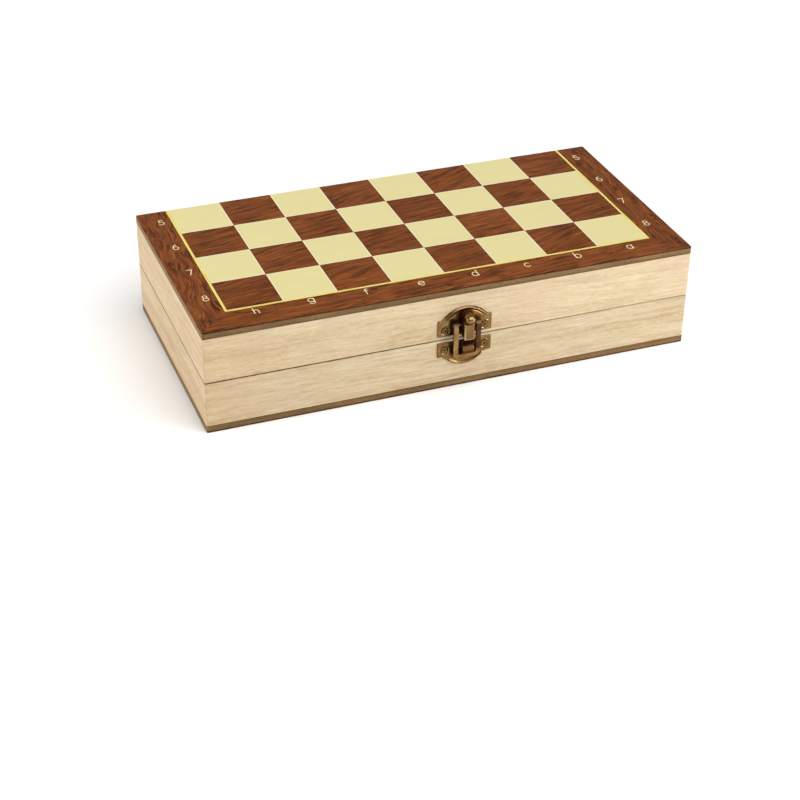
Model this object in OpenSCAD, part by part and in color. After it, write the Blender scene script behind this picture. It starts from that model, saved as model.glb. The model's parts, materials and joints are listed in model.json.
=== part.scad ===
/* [Box] */
// Length of the folded box, left to right; its depth is half of this
box_l = 240; // [200:10:300]
// Height of the folded box
box_h = 52; // [44:1:60]
// Thickness of the rails that form the sides
rail_t = 8; // [8:0.5:10]
// Thickness of the panel under the veneer
core_t = 3; // [2:0.2:4]
// Rounding of the upright corners
corner_r = 0.75; // [0.5:0.25:2]
// Chamfer of the rails where the two trays meet
rim_chamfer = 0.2; // [0.2:0.1:0.6]

/* [Board] */
// Width of the dark border with its inlay line
border_w = 16; // [12:1:20]
// Width of the inlay line beside the squares
line_w = 1.2; // [1:0.2:3]
// Thickness of the veneer
veneer_t = 0.6; // [0.4:0.1:0.8]
// Joint between neighbouring squares
square_gap = 0.04; // [0.02:0.02:0.1]

/* [Hinges] */
// Distance of each hinge from the middle of the box
hinge_x = 76; // [50:1:80]
// Length of a hinge
hinge_l = 20; // [18:1:30]
// Width of a hinge leaf, measured from the pin
leaf_w = 6.8; // [6.4:0.1:7.2]
// Thickness of a hinge leaf
leaf_t = 0.8; // [0.7:0.1:1]
// Outer radius of a hinge knuckle
knuckle_r = 1.5; // [1.4:0.1:1.8]
// Radius of a hinge pin
hinge_pin_r = 0.65; // [0.6:0.05:0.75]
// Gap between the trays when they lie side by side
fold_gap = 0.3; // [0.2:0.1:0.6]

/* [Clasp] */
// Offset of the clasp from the middle of the front
clasp_x = 4; // [-10:1:10]
// Half width of the clasp plates
plate_hw = 13.4; // [13:0.2:15]
// Thickness of the clasp plates
plate_t = 0.9; // [0.8:0.1:1]
// Half width of the lever
lever_hw = 2.6; // [2.4:0.1:2.8]
// How far the lever stands out from the rail
lever_p = 6.8; // [6.6:0.1:7.2]
// Inner half width of the loop
loop_in = 4.25; // [4:0.05:4.4]
// Outer half width of the loop
loop_out = 6.8; // [6.4:0.1:7]
// Thickness of the loop
loop_t = 1; // [0.8:0.1:1.1]
// Outer radius of the rolled catch
roll_r = 2.5; // [2.3:0.1:2.6]

/* [Hidden] */
$fn = 64;
box_w = box_l / 2;
sq = (box_l - 2 * border_w) / 8;
mid = box_h / 2;
panel_t = core_t + veneer_t;
x0 = -box_l / 2;
y0 = -box_w / 2;
fx = x0 + border_w;
fy = y0 + border_w;
fold_y = box_w / 2 + fold_gap / 2;
// Lever pivot and loop pivot: distance out from the rail, height above the meeting line
lev_p = 3.2;
lev_z = 4.2;
lop_p = 3.1;
loop_back = 3.2;
eye_r = 1.15;
lop_z = 8.4;
pin_r = 0.65;
run = 0.05;
up_lo = 1.9;
up_hi = 10.4;
up_cz = 2.25;
up_r = 13.85;
up_fil = 0.5;
lw_hi = -1.5;
lw_lo = -9;
lw_cz = -2.4;
lw_r = 12;
lw_fil = 1.5;
lip_z = 11.6;
face_z = 9.25;
head_p = 3.9;
head_z = 13.3;
tip_p = lever_p + 0.25;
tip_z = 12.25;
tip_r = 2.1;
bend_z = -6.2;
bend_a = 20;
roll_p = plate_t + roll_r;
roll_z = -4.3;
roll_hw = 2.85;
bar_top = -7.1;
bar_bot = -10;
scr_x = 9.85;
up_scr_z = 5;
lw_scr_z = -5.2;
b = border_w - line_w;
k = hinge_l / 6;

// ---------- helpers ----------

// Carries a shape of the lower tray to its mirrored place on the upper tray
module upper() { translate([0, 0, box_h]) mirror([0, 0, 1]) children(); }

// Outline of the box in plan, with rounded upright corners
module plan(r = corner_r) {
  square([box_l - 2 * r, box_w], center = true);
  square([box_l, box_w - 2 * r], center = true);
  for (x = [-1, 1], y = [-1, 1]) translate([x * (box_l / 2 - r), y * (box_w / 2 - r)]) circle(r);
}

// Countersunk screw pointing down, its head level with z = 0
module screw_body(r, head_r, head_h, len) {
  translate([0, 0, -head_h]) cylinder(h = head_h, r1 = r, r2 = head_r);
  translate([0, 0, -len + r]) cylinder(h = len - r - head_h, r = r);
  translate([0, 0, -len]) cylinder(h = r, r1 = 0.1, r2 = r);
}
module screw(r, head_r, head_h, len) {
  difference() {
    screw_body(r, head_r, head_h, len);
    for (a = [0, 90]) rotate(a) translate([-head_r * 0.6, -0.18, -0.35]) cube([head_r * 1.2, 0.36, 1]);
  }
}

// Prism along X of an outline given as (distance out from the rail, height above the meeting line)
module side_prism(x1, x2) {
  translate([clasp_x + x1, -box_w / 2, mid]) mirror([0, 1, 0]) rotate([90, 0, 90]) linear_extrude(x2 - x1) children();
}
// Prism out from the rail of an outline given as (across, height above the meeting line)
module face_prism(p1, p2) {
  translate([clasp_x, -box_w / 2 - p1, mid]) rotate([90, 0, 0]) linear_extrude(p2 - p1) children();
}
// Pin along X at (p, z)
module cross_pin(p, z, r, x1, x2) { side_prism(x1, x2) translate([p, z]) circle(r); }

// ---------- tray, drawn as the lower one ----------

module core() { translate([0, 0, veneer_t]) linear_extrude(core_t) plan(); }

// The four rails share one ring; each is cut from it along the mitres
module rail_ring() {
  difference() {
    intersection() {
      translate([0, 0, panel_t]) linear_extrude(mid - panel_t) plan();
      union() {
        translate([x0, y0, panel_t]) cube([box_l, box_w, mid - rim_chamfer - panel_t]);
        translate([0, 0, mid - rim_chamfer]) frustum();
      }
    }
    translate([x0 + rail_t, y0 + rail_t, 0]) cube([box_l - 2 * rail_t, box_w - 2 * rail_t, box_h]);
  }
}
// Chamfered top of the ring, made from four wedges
module frustum() {
  c = rim_chamfer;
  intersection() {
    translate([x0, 0, 0]) rotate([90, 0, 90]) linear_extrude(box_l)
      polygon([[y0, 0], [-y0, 0], [-y0 - c, c], [y0 + c, c]]);
    translate([0, -y0, 0]) rotate([90, 0, 0]) linear_extrude(box_w)
      polygon([[x0, 0], [-x0, 0], [-x0 - c, c], [x0 + c, c]]);
  }
}
module mitre_x(s) {
  linear_extrude(box_h) polygon([[x0, s * y0], [-x0, s * y0], [-x0 - rail_t, s * (y0 + rail_t)], [x0 + rail_t, s * (y0 + rail_t)]]);
}
module mitre_y(s) {
  linear_extrude(box_h) polygon([[s * x0, y0], [s * x0, -y0], [s * (x0 + rail_t), -y0 - rail_t], [s * (x0 + rail_t), y0 + rail_t]]);
}

module front_rail() { intersection() { rail_ring(); mitre_x(1); } }
module left_rail() { intersection() { rail_ring(); mitre_y(1); } }
module right_rail() { intersection() { rail_ring(); mitre_y(-1); } }
module back_rail() {
  difference() {
    intersection() { rail_ring(); mitre_x(-1); }
    for (s = [-1, 1]) translate([s * hinge_x, 0, 0]) {
      translate([-hinge_l / 2, fold_y - leaf_w, mid - leaf_t]) cube([hinge_l, leaf_w + 1, leaf_t + 1]);
      translate([-hinge_l / 2 - 0.1, fold_y, mid]) rotate([0, 90, 0]) cylinder(h = hinge_l + 0.2, r = knuckle_r + 0.2);
    }
    hinge_screw_bodies();
  }
}

// Border strips of veneer, mitred at the two front corners
module strip(pts) {
  intersection() {
    linear_extrude(veneer_t) plan();
    linear_extrude(veneer_t) polygon(pts);
  }
}
module border_front() { strip([[x0, y0], [-x0, y0], [-x0 - b, y0 + b], [x0 + b, y0 + b]]); }
module border_side(s) { strip([[s * x0, y0], [s * (x0 + b), y0 + b], [s * (x0 + b), -y0], [s * x0, -y0]]); }
module inlay_line() {
  linear_extrude(veneer_t) difference() {
    translate([x0 + b, y0 + b]) square([box_l - 2 * b, box_w - b]);
    translate([fx, fy]) square([8 * sq, box_w]);
  }
}
// Squares of one colour; file 0 is at the left, rank 0 at the front
module squares(parity) {
  linear_extrude(veneer_t)
    for (i = [0:7], j = [0:3])
      if ((i + j) % 2 == parity)
        translate([fx + i * sq + square_gap / 2, fy + j * sq + square_gap / 2])
          square([sq - square_gap, sq - (j == 3 ? square_gap / 2 : square_gap)]);
}

// ---------- hinges ----------

module at_axis(x1, x2) { translate([x1, fold_y, mid]) rotate([0, 90, 0]) linear_extrude(x2 - x1) children(); }
module knuckle(x1, x2, bore) { at_axis(x1, x2) difference() { circle(knuckle_r); circle(bore); } }
module leaf_plate() {
  translate([-hinge_l / 2, fold_y - leaf_w, mid - leaf_t]) cube([hinge_l, leaf_w - hinge_pin_r - run - 0.1, leaf_t]);
}
module hinge_screw_places() {
  for (s = [-1, 1], t = [-1, 1])
    translate([s * hinge_x + t * hinge_l * 0.31, fold_y - leaf_w * 0.57, mid - 0.02]) children();
}
module hinge_screw_bodies() { hinge_screw_places() screw_body(0.9, 1.6, 0.7, 7); }
module hinge_screws() { hinge_screw_places() screw(0.9, 1.6, 0.7, 7); }

// Leaf with the two outer knuckles
module lower_leaf(s) {
  difference() {
    translate([s * hinge_x, 0, 0]) difference() {
      union() {
        leaf_plate();
        knuckle(-hinge_l / 2, -k - 0.05, hinge_pin_r);
        knuckle(k + 0.05, hinge_l / 2, hinge_pin_r);
      }
      at_axis(-k - 0.05, k + 0.05) circle(knuckle_r + 0.15);
    }
    hinge_screw_bodies();
    translate([-box_l, fold_y - leaf_w - 1, mid - 0.02]) cube([2 * box_l, leaf_w - knuckle_r + 0.6, 2]);
  }
}
// Leaf with the middle knuckle, drawn in the lower tray and mirrored up
module middle_leaf(s) {
  difference() {
    translate([s * hinge_x, 0, 0]) difference() {
      union() {
        leaf_plate();
        knuckle(-k + 0.05, k - 0.05, hinge_pin_r + run);
      }
      for (t = [-1, 1]) at_axis(t > 0 ? k - 0.05 : -hinge_l / 2 - 1, t > 0 ? hinge_l / 2 + 1 : -k + 0.05) circle(knuckle_r + 0.15);
    }
    hinge_screw_bodies();
    translate([-box_l, fold_y - leaf_w - 1, mid - 0.02]) cube([2 * box_l, leaf_w - knuckle_r + 0.6, 2]);
  }
}
module hinge_pin(s) { translate([s * hinge_x, 0, 0]) at_axis(-hinge_l / 2 - 0.05, hinge_l / 2 + 0.05) circle(hinge_pin_r); }

// ---------- clasp ----------

module clasp_screw_place(z) {
  for (s = [-1, 1]) translate([clasp_x + s * scr_x, -box_w / 2 - plate_t, mid + z]) rotate([90, 0, 0]) children();
}
module plate_screw_body() { screw_body(1, 1.8, 0.8, 7); }

// Plate outline: two ears and a round dome beyond the line zend, with a fillet f where they meet
module plate_2d(zlo, zhi, cz, r, f, up) {
  d = up ? 1 : -1;
  zend = up ? zhi : zlo;
  fc = sqrt(pow(r + f, 2) - pow(zend + d * f - cz, 2));
  tx = fc * r / (r + f);
  tz = cz + (zend + d * f - cz) * r / (r + f);
  translate([-plate_hw, zlo]) square([2 * plate_hw, zhi - zlo]);
  difference() {
    union() {
      translate([0, cz]) circle(r);
      for (s = [-1, 1]) difference() {
        translate([s > 0 ? tx : -fc, min(tz, zend - d * 0.2)]) square([fc - tx, abs(tz - zend) + 0.2]);
        translate([s * fc, zend + d * f]) circle(f);
      }
    }
    translate([-40, up ? -40 + zend - 0.2 : zend + 0.2]) square([80, 40]);
  }
}
// Raised edge along the round part of a plate
module bead_2d(zend, cz, r, up) {
  difference() {
    translate([0, cz]) difference() { circle(r); circle(r - 0.9); }
    translate([-40, up ? -40 + zend : zend]) square([80, 40]);
  }
}

module clasp_upper_plate() {
  color("#6e5836")
  difference() {
    union() {
      face_prism(0, plate_t) plate_2d(up_lo, up_hi, up_cz, up_r, up_fil, true);
      face_prism(0.2, plate_t + 0.45) bead_2d(up_hi, up_cz, up_r, true);
      for (s = [-1, 1]) side_prism(s > 0 ? 1 : -1.8, s > 0 ? 1.8 : -1) {
        translate([lev_p, lev_z]) circle(1.5);
        translate([0.4, lev_z - 1.5]) square([lev_p - 0.4, 3]);
      }
    }
    cross_pin(lev_p, lev_z, pin_r, -3, 3);
    clasp_screw_place(up_scr_z) plate_screw_body();
  }
}

module clasp_lower_plate() {
  color("#6e5836")
  difference() {
    union() {
      face_prism(0, plate_t) plate_2d(lw_lo, lw_hi, lw_cz, lw_r, lw_fil, false);
      face_prism(0.2, plate_t + 0.45) bead_2d(lw_lo, lw_cz, lw_r, false);
      // tongue rolled outward and down to form the catch
      side_prism(-roll_hw, roll_hw) {
        difference() {
          union() {
            translate([roll_p, roll_z]) circle(roll_r);
            translate([0.4, roll_z + 0.9]) square([roll_p - 0.4, roll_r - 0.9]);
          }
          translate([roll_p, roll_z]) circle(roll_r - 0.9);
          translate([plate_t, roll_z - roll_r - 1]) square([roll_p - plate_t - 0.8, roll_r + 1.2]);
        }
      }
    }
    clasp_screw_place(lw_scr_z) plate_screw_body();
  }
}

module clasp_lever() {
  color("#7a6138")
  difference() {
    union() {
      intersection() {
        // side view
        side_prism(-lever_hw, lever_hw) {
          translate([lev_p, lev_z]) circle(1.8);
          polygon([[lev_p, lev_z - 1.8], [lever_p - 1.2, lev_z - 2], [lever_p - 0.8, lev_z - 2.4], [lever_p, lev_z - 2.4],
                   [lever_p, face_z], [lever_p - 0.6, face_z + 0.95], [lever_p - 0.6, head_z], [lev_p, head_z]]);
          translate([lev_p - 1.8, lev_z]) square([lever_p - lev_p + 1.2, head_z - lev_z]);
          translate([head_p, head_z]) circle(2.6);
        }
        // front view
        face_prism(0, 10) {
          translate([-lever_hw, 0]) square([2 * lever_hw, head_z]);
          translate([0, head_z]) circle(lever_hw);
        }
        // view from above, with the long front edges bevelled
        translate([clasp_x, -box_w / 2, mid]) linear_extrude(20)
          polygon([[-lever_hw, 0], [lever_hw, 0], [lever_hw, -lever_p + 0.7], [lever_hw - 1.1, -lever_p - 0.6],
                   [-lever_hw + 1.1, -lever_p - 0.6], [-lever_hw, -lever_p + 0.7]]);
      }
      // round tip that the finger lifts
      translate([clasp_x, -box_w / 2 - tip_p, mid + tip_z]) sphere(tip_r);
    }
    // hollow of the channel
    side_prism(-lever_hw + 0.7, lever_hw - 0.7) {
      translate([-1, -1]) square([lever_p - 0.8 + 1, lip_z - 2.4]);
      translate([-1, -1]) square([lever_p - 1.5 + 1, lip_z]);
      translate([-1, 9]) square([lever_p - 2.8 + 1, 4.4]);
      translate([lever_p - 2.8, lip_z - 1]) circle(1.5);
    }
    cross_pin(lev_p, lev_z, pin_r + run, -4, 4);
    cross_pin(lop_p, lop_z, pin_r + run, -4, 4);
  }
}

module clasp_lever_pin() {
  color("#5a4a30") {
    cross_pin(lev_p, lev_z, pin_r, -lever_hw - 0.5, lever_hw + 0.5);
    for (s = [-1, 1]) cross_pin(lev_p, lev_z, 1.05, s > 0 ? lever_hw + 0.06 : -lever_hw - 0.6, s > 0 ? lever_hw + 0.6 : -lever_hw - 0.06);
  }
}

module loop_2d() {
  r = 3.2;
  difference() {
    union() {
      translate([-loop_out, bar_bot + r]) square([2 * loop_out, lop_z - bar_bot - r]);
      translate([-loop_out + r, bar_bot]) square([2 * (loop_out - r), r + 1]);
      for (s = [-1, 1]) translate([s * (loop_out - r), bar_bot + r]) circle(r);
    }
    translate([-loop_in, bar_top + 0.8]) square([2 * loop_in, 40]);
    translate([-loop_in + 0.8, bar_top]) square([2 * (loop_in - 0.8), 2]);
    for (s = [-1, 1]) translate([s * (loop_in - 0.8), bar_top + 0.8]) circle(0.8);
  }
}
module clasp_loop() {
  color("#7a6138")
  difference() {
    union() {
      intersection() {
        face_prism(0.5, 6) loop_2d();
        // side view, with the lower bar bent in under the catch
        side_prism(-loop_out, loop_out)
          polygon([[loop_back, lop_z], [loop_back, bend_z + loop_t * tan(bend_a / 2)],
                   [loop_back - (bend_z + loop_t * tan(bend_a / 2) - bar_bot) * tan(bend_a), bar_bot],
                   [loop_back + loop_t - (bend_z - bar_bot) * tan(bend_a), bar_bot],
                   [loop_back + loop_t, bend_z], [loop_back + loop_t, lop_z]]);
      }
      for (s = [-1, 1]) side_prism(s > 0 ? loop_in : -loop_out, s > 0 ? loop_out : -loop_in) translate([lop_p, lop_z]) circle(eye_r);
    }
    cross_pin(lop_p, lop_z, pin_r, -8, 8);
  }
}
module clasp_loop_pin() { color("#5a4a30") cross_pin(lop_p, lop_z, pin_r, -loop_out + 0.05, loop_out - 0.05); }

module clasp_screws(z) { clasp_screw_place(z) screw(1, 1.8, 0.8, 7); }
module front_rail_drilled(z) {
  difference() { children(); clasp_screw_place(z) plate_screw_body(); }
}

// ---------- one module per piece ----------

module lower_board_core() { color("#9b8a72") core(); }
module lower_front_rail() { color("#e9d5ae") front_rail_drilled(lw_scr_z) front_rail(); }
module lower_back_rail() { color("#e9d5ae") back_rail(); }
module lower_left_rail() { color("#e6d0a8") left_rail(); }
module lower_right_rail() { color("#e6d0a8") right_rail(); }
module lower_border_front() { color("#6a3620") border_front(); }
module lower_border_left() { color("#633019") border_side(1); }
module lower_border_right() { color("#633019") border_side(-1); }
module lower_inlay_line() { color("#f0dc6a") inlay_line(); }
module lower_dark_squares() { color("#7a3f27") squares(1); }
module lower_light_squares() { color("#e6dca4") squares(0); }

module upper_board_core() { color("#9b8a72") upper() core(); }
module upper_front_rail() { color("#e9d5ae") front_rail_drilled(up_scr_z) upper() front_rail(); }
module upper_back_rail() { color("#e9d5ae") upper() back_rail(); }
module upper_left_rail() { color("#e6d0a8") upper() left_rail(); }
module upper_right_rail() { color("#e6d0a8") upper() right_rail(); }
module upper_border_front() { color("#6a3620") upper() border_front(); }
module upper_border_left() { color("#633019") upper() border_side(1); }
module upper_border_right() { color("#633019") upper() border_side(-1); }
module upper_inlay_line() { color("#f0dc6a") upper() inlay_line(); }
module upper_dark_squares() { color("#7a3f27") upper() squares(0); }
module upper_light_squares() { color("#e6dca4") upper() squares(1); }

module left_hinge_lower_leaf() { color("#b08d4a") lower_leaf(-1); }
module left_hinge_upper_leaf() { color("#b08d4a") upper() middle_leaf(-1); }
module left_hinge_pin() { color("#8d8a80") hinge_pin(-1); }
module right_hinge_lower_leaf() { color("#b08d4a") lower_leaf(1); }
module right_hinge_upper_leaf() { color("#b08d4a") upper() middle_leaf(1); }
module right_hinge_pin() { color("#8d8a80") hinge_pin(1); }
module hinge_lower_screws() { color("#b08d4a") hinge_screws(); }
module hinge_upper_screws() { color("#b08d4a") upper() hinge_screws(); }

module clasp_upper_screws() { color("#57462c") clasp_screws(up_scr_z); }
module clasp_lower_screws() { color("#57462c") clasp_screws(lw_scr_z); }

// ---------- nodes ----------

lower_board_core();
lower_front_rail();
lower_back_rail();
lower_left_rail();
lower_right_rail();
lower_border_front();
lower_border_left();
lower_border_right();
lower_inlay_line();
lower_dark_squares();
lower_light_squares();
upper_board_core();
upper_front_rail();
upper_back_rail();
upper_left_rail();
upper_right_rail();
upper_border_front();
upper_border_left();
upper_border_right();
upper_inlay_line();
upper_dark_squares();
upper_light_squares();
left_hinge_lower_leaf();
left_hinge_upper_leaf();
left_hinge_pin();
right_hinge_lower_leaf();
right_hinge_upper_leaf();
right_hinge_pin();
hinge_lower_screws();
hinge_upper_screws();
clasp_upper_plate();
clasp_lower_plate();
clasp_lever();
clasp_lever_pin();
clasp_loop();
clasp_loop_pin();
clasp_upper_screws();
clasp_lower_screws();
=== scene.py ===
import json
import math

import bmesh
import bpy
import numpy as np
from mathutils import Matrix, Vector


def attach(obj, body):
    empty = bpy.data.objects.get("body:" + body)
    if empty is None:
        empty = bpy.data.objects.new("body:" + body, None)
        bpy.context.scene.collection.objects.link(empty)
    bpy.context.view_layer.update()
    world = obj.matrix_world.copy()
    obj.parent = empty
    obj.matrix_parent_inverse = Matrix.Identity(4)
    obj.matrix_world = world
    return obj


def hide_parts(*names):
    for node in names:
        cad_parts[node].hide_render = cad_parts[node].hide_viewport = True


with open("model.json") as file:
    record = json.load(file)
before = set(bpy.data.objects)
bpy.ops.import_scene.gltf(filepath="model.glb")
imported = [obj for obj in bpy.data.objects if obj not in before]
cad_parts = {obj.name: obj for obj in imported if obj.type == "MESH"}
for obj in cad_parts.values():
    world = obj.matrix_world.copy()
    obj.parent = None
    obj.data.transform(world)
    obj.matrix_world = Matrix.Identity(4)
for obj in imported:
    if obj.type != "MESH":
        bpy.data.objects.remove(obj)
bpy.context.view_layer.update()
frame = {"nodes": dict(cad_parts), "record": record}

NODES = frame["nodes"]
BODIES = {n: b for b, ns in frame["record"]["behaviour"]["bodies"].items() for n in ns}
scene = bpy.context.scene
MM = 0.001

# The box, in millimetres
L, W, H = 240.0, 120.0, 52.0
MID = H / 2
SQ = 26.0
FX, FY = -104.0, -44.0
VENEER = 0.6
CORE = 3.0
CLASP_X = 4.0
DROP = 0.02  # how far the veneer lies under the lettering


# ================================================================ stage

def camera():
    rows = [
        (0.93532964, -0.35363399, 0.01007312),
        (-0.18274954, -0.50734396, -0.84214293),
        (0.3029209, 0.78584038, -0.53916029),
    ]
    data = bpy.data.cameras.new("cam")
    cam = bpy.data.objects.new("cam", data)
    scene.collection.objects.link(cam)
    m = Matrix.Identity(4)
    for i in range(3):
        m[i][0] = rows[0][i]
        m[i][1] = -rows[1][i]
        m[i][2] = -rows[2][i]
        m[i][3] = (-0.282784, -0.722640, 0.452301)[i]
    cam.matrix_world = m
    data.sensor_fit = "HORIZONTAL"
    data.sensor_width = 36
    data.lens = 81.48
    data.clip_start, data.clip_end = 0.01, 20
    scene.camera = cam


def area(name, place, aim, size, power, colour=(1, 1, 1)):
    data = bpy.data.lights.new(name, "AREA")
    data.shape = "RECTANGLE"
    data.size, data.size_y = size
    data.energy = power
    data.color = colour
    o = bpy.data.objects.new(name, data)
    scene.collection.objects.link(o)
    o.location = place
    o.rotation_mode = "QUATERNION"
    o.rotation_quaternion = (Vector(place) - Vector(aim)).to_track_quat("Z", "Y")
    return o


camera()


# ================================================================ node helper

class Graph:
    """Builds a material's nodes from short calls. Every call returns an output socket."""

    def __init__(self, name, tree=None):
        if tree is None:
            self.mat = bpy.data.materials.new(name)
            self.mat.use_nodes = True
            tree = self.mat.node_tree
            self.bsdf = tree.nodes["Principled BSDF"]
        self.tree = tree

    def put(self, socket, value):
        if value is None:
            return
        if isinstance(value, bpy.types.NodeSocket):
            self.tree.links.new(value, socket)
        elif socket.type in ("RGBA",) and not hasattr(value, "__len__"):
            socket.default_value = (value, value, value, 1)
        elif socket.type == "RGBA" and len(value) == 3:
            socket.default_value = (*value, 1)
        else:
            socket.default_value = value

    def node(self, kind, out=0, inputs=(), **props):
        n = self.tree.nodes.new(kind)
        for k, v in props.items():
            setattr(n, k, v)
        for k, v in dict(inputs).items():
            self.put(n.inputs[k], v)
        return n.outputs[out]

    def math(self, op, a, b=None, c=None, clamp=False):
        n = self.tree.nodes.new("ShaderNodeMath")
        n.operation = op
        n.use_clamp = clamp
        for i, v in enumerate((a, b, c)):
            self.put(n.inputs[i], v)
        return n.outputs[0]

    def add(self, a, b): return self.math("ADD", a, b)
    def sub(self, a, b): return self.math("SUBTRACT", a, b)
    def mul(self, a, b): return self.math("MULTIPLY", a, b)

    def vec(self, op, a, b=None, scale=None):
        n = self.tree.nodes.new("ShaderNodeVectorMath")
        n.operation = op
        self.put(n.inputs[0], a)
        if b is not None:
            self.put(n.inputs[1], b)
        if scale is not None:
            self.put(n.inputs["Scale"], scale)
        return n.outputs["Value"] if op in ("LENGTH", "DISTANCE", "DOT_PRODUCT") else n.outputs[0]

    def xyz(self, x, y, z):
        return self.node("ShaderNodeCombineXYZ", inputs={0: x, 1: y, 2: z})

    def split(self, v):
        n = self.tree.nodes.new("ShaderNodeSeparateXYZ")
        self.put(n.inputs[0], v)
        return n.outputs[0], n.outputs[1], n.outputs[2]

    def noise(self, v, scale=1.0, detail=2.0, rough=0.5, distortion=0.0, colour=False):
        return self.node("ShaderNodeTexNoise", out=1 if colour else 0,
                         inputs={"Vector": v, "Scale": scale, "Detail": detail, "Roughness": rough, "Distortion": distortion})

    def map(self, v, a, b, c=0.0, d=1.0, smooth=True):
        n = self.tree.nodes.new("ShaderNodeMapRange")
        n.interpolation_type = "SMOOTHSTEP" if smooth else "LINEAR"
        n.clamp = True
        for k, x in zip(("Value", "From Min", "From Max", "To Min", "To Max"), (v, a, b, c, d)):
            self.put(n.inputs[k], x)
        return n.outputs[0]

    def ramp(self, v, stops, kind="LINEAR"):
        n = self.tree.nodes.new("ShaderNodeValToRGB")
        n.color_ramp.interpolation = kind
        e = n.color_ramp.elements
        while len(e) < len(stops):
            e.new(0.5)
        for el, (pos, col) in zip(e, stops):
            el.position = pos
            el.color = col if len(col) == 4 else (*col, 1)
        self.put(n.inputs[0], v)
        return n.outputs[0]

    def mix(self, fac, a, b, blend="MIX"):
        n = self.tree.nodes.new("ShaderNodeMix")
        n.data_type = "RGBA"
        n.blend_type = blend
        n.clamp_factor = True
        self.put(n.inputs[0], fac)
        self.put(n.inputs[6], a)
        self.put(n.inputs[7], b)
        return n.outputs[2]

    def mixf(self, fac, a, b):
        n = self.tree.nodes.new("ShaderNodeMix")
        n.data_type = "FLOAT"
        self.put(n.inputs[0], fac)
        self.put(n.inputs[2], a)
        self.put(n.inputs[3], b)
        return n.outputs[0]

    def attribute(self, name):
        return self.node("ShaderNodeAttribute", out=2, attribute_type="GEOMETRY", attribute_name=name)

    def place(self):
        """The point in millimetres, in the row frame at rest."""
        o = self.node("ShaderNodeTexCoord", out=3)
        return self.vec("SCALE", o, scale=1000.0)

    def facing(self):
        """The face's direction in the row frame at rest, whatever the pose."""
        n = self.node("ShaderNodeNewGeometry", out=3)
        return self.split(self.node("ShaderNodeVectorTransform", inputs={0: n}, vector_type="NORMAL",
                                    convert_from="WORLD", convert_to="OBJECT"))

    def bump(self, height, strength=0.2, distance=0.0001, normal=None):
        return self.node("ShaderNodeBump", inputs={"Height": height, "Strength": strength, "Distance": distance,
                                                   **({"Normal": normal} if normal is not None else {})})

    def done(self, colour, rough, normal=None, metallic=None, **fixed):
        b = self.bsdf
        self.put(b.inputs["Base Color"], colour)
        self.put(b.inputs["Roughness"], rough)
        if normal is not None:
            self.put(b.inputs["Normal"], normal)
        if metallic is not None:
            self.put(b.inputs["Metallic"], metallic)
        for k, v in fixed.items():
            b.inputs[k.replace("_", " ")].default_value = v
        return self.mat


def lin(r, g, b):
    def f(c):
        c /= 255
        return c / 12.92 if c <= 0.04045 else ((c + 0.055) / 1.055) ** 2.4
    return (f(r), f(g), f(b), 1)


def dim(c, k):
    return (c[0] * k, c[1] * k, c[2] * k, 1)


# ================================================================ meshes

def link(name, mesh, node=None, mats=(), body=None, replaces=()):
    o = bpy.data.objects.new(name, mesh)
    scene.collection.objects.link(o)
    for m in mats:
        mesh.materials.append(m)
    names = list(replaces) or ([node] if node else [])
    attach(o, body or BODIES[names[0]])
    if names:
        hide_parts(*names)
    return o


def set_attr(mesh, name, values):
    a = mesh.attributes.new(name, "FLOAT", "POINT")
    a.data.foreach_set("value", np.asarray(values, np.float32))


def coords(mesh):
    co = np.zeros(len(mesh.vertices) * 3, np.float32)
    mesh.vertices.foreach_get("co", co)
    return co.reshape(-1, 3).astype(float)


def area_normals(mesh):
    """Smooth shading that leaves large flat faces flat: every vertex normal is the area-weighted mean of its faces."""
    n = np.zeros((len(mesh.vertices), 3))
    for p in mesh.polygons:
        v = list(p.vertices)
        n[v] += np.array(p.normal) * p.area
    n /= np.maximum(np.linalg.norm(n, axis=1), 1e-20)[:, None]
    mesh.shade_smooth()
    mesh.normals_split_custom_set_from_vertices(n.tolist())


def softened(name, node, width, mat, segments=2, drop=False, seed=0.0, seeds=None, level=1.0, angle=25.0):
    """The CAD node's shape with its edges eased by width (mm), as a piece of its own."""
    me = NODES[node].data.copy()
    me.name = name
    me.materials.clear()
    bm = bmesh.new()
    bm.from_mesh(me)
    bmesh.ops.remove_doubles(bm, verts=bm.verts, dist=2e-6)
    bmesh.ops.dissolve_limit(bm, angle_limit=math.radians(0.4), use_dissolve_boundaries=False,
                             verts=bm.verts, edges=bm.edges, delimit=set())
    if drop:
        for v in bm.verts:
            if v.co.z > (H - 0.01) * MM:
                v.co.z = (H - DROP) * MM
            elif v.co.z < 0.01 * MM:
                v.co.z = DROP * MM
    sharp = [e for e in bm.edges if len(e.link_faces) == 2 and e.calc_face_angle(0) > math.radians(angle)]
    bmesh.ops.bevel(bm, geom=sharp, offset=width * MM, offset_type="OFFSET", segments=segments, profile=0.5,
                    affect="EDGES", clamp_overlap=True)
    bmesh.ops.recalc_face_normals(bm, faces=bm.faces)
    bm.to_mesh(me)
    bm.free()
    for a in [a.name for a in me.attributes if a.name in ("custom_normal",)]:
        me.attributes.remove(me.attributes[a])
    me.update()
    area_normals(me)
    co = coords(me) / MM
    set_attr(me, "seed", seeds(co) if seeds else np.full(len(co), seed))
    set_attr(me, "level", np.full(len(co), level))
    return link(name, me, node, [mat])


# ---------------------------------------------------------------- implicit shapes
# Distances are in millimetres, negative inside. The clasp is drawn in x (along the box from the clasp's middle),
# p (out from the rail) and z (up from the line where the trays meet).

def circle(u, v, cu, cv, r):
    return np.hypot(u - cu, v - cv) - r


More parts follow.
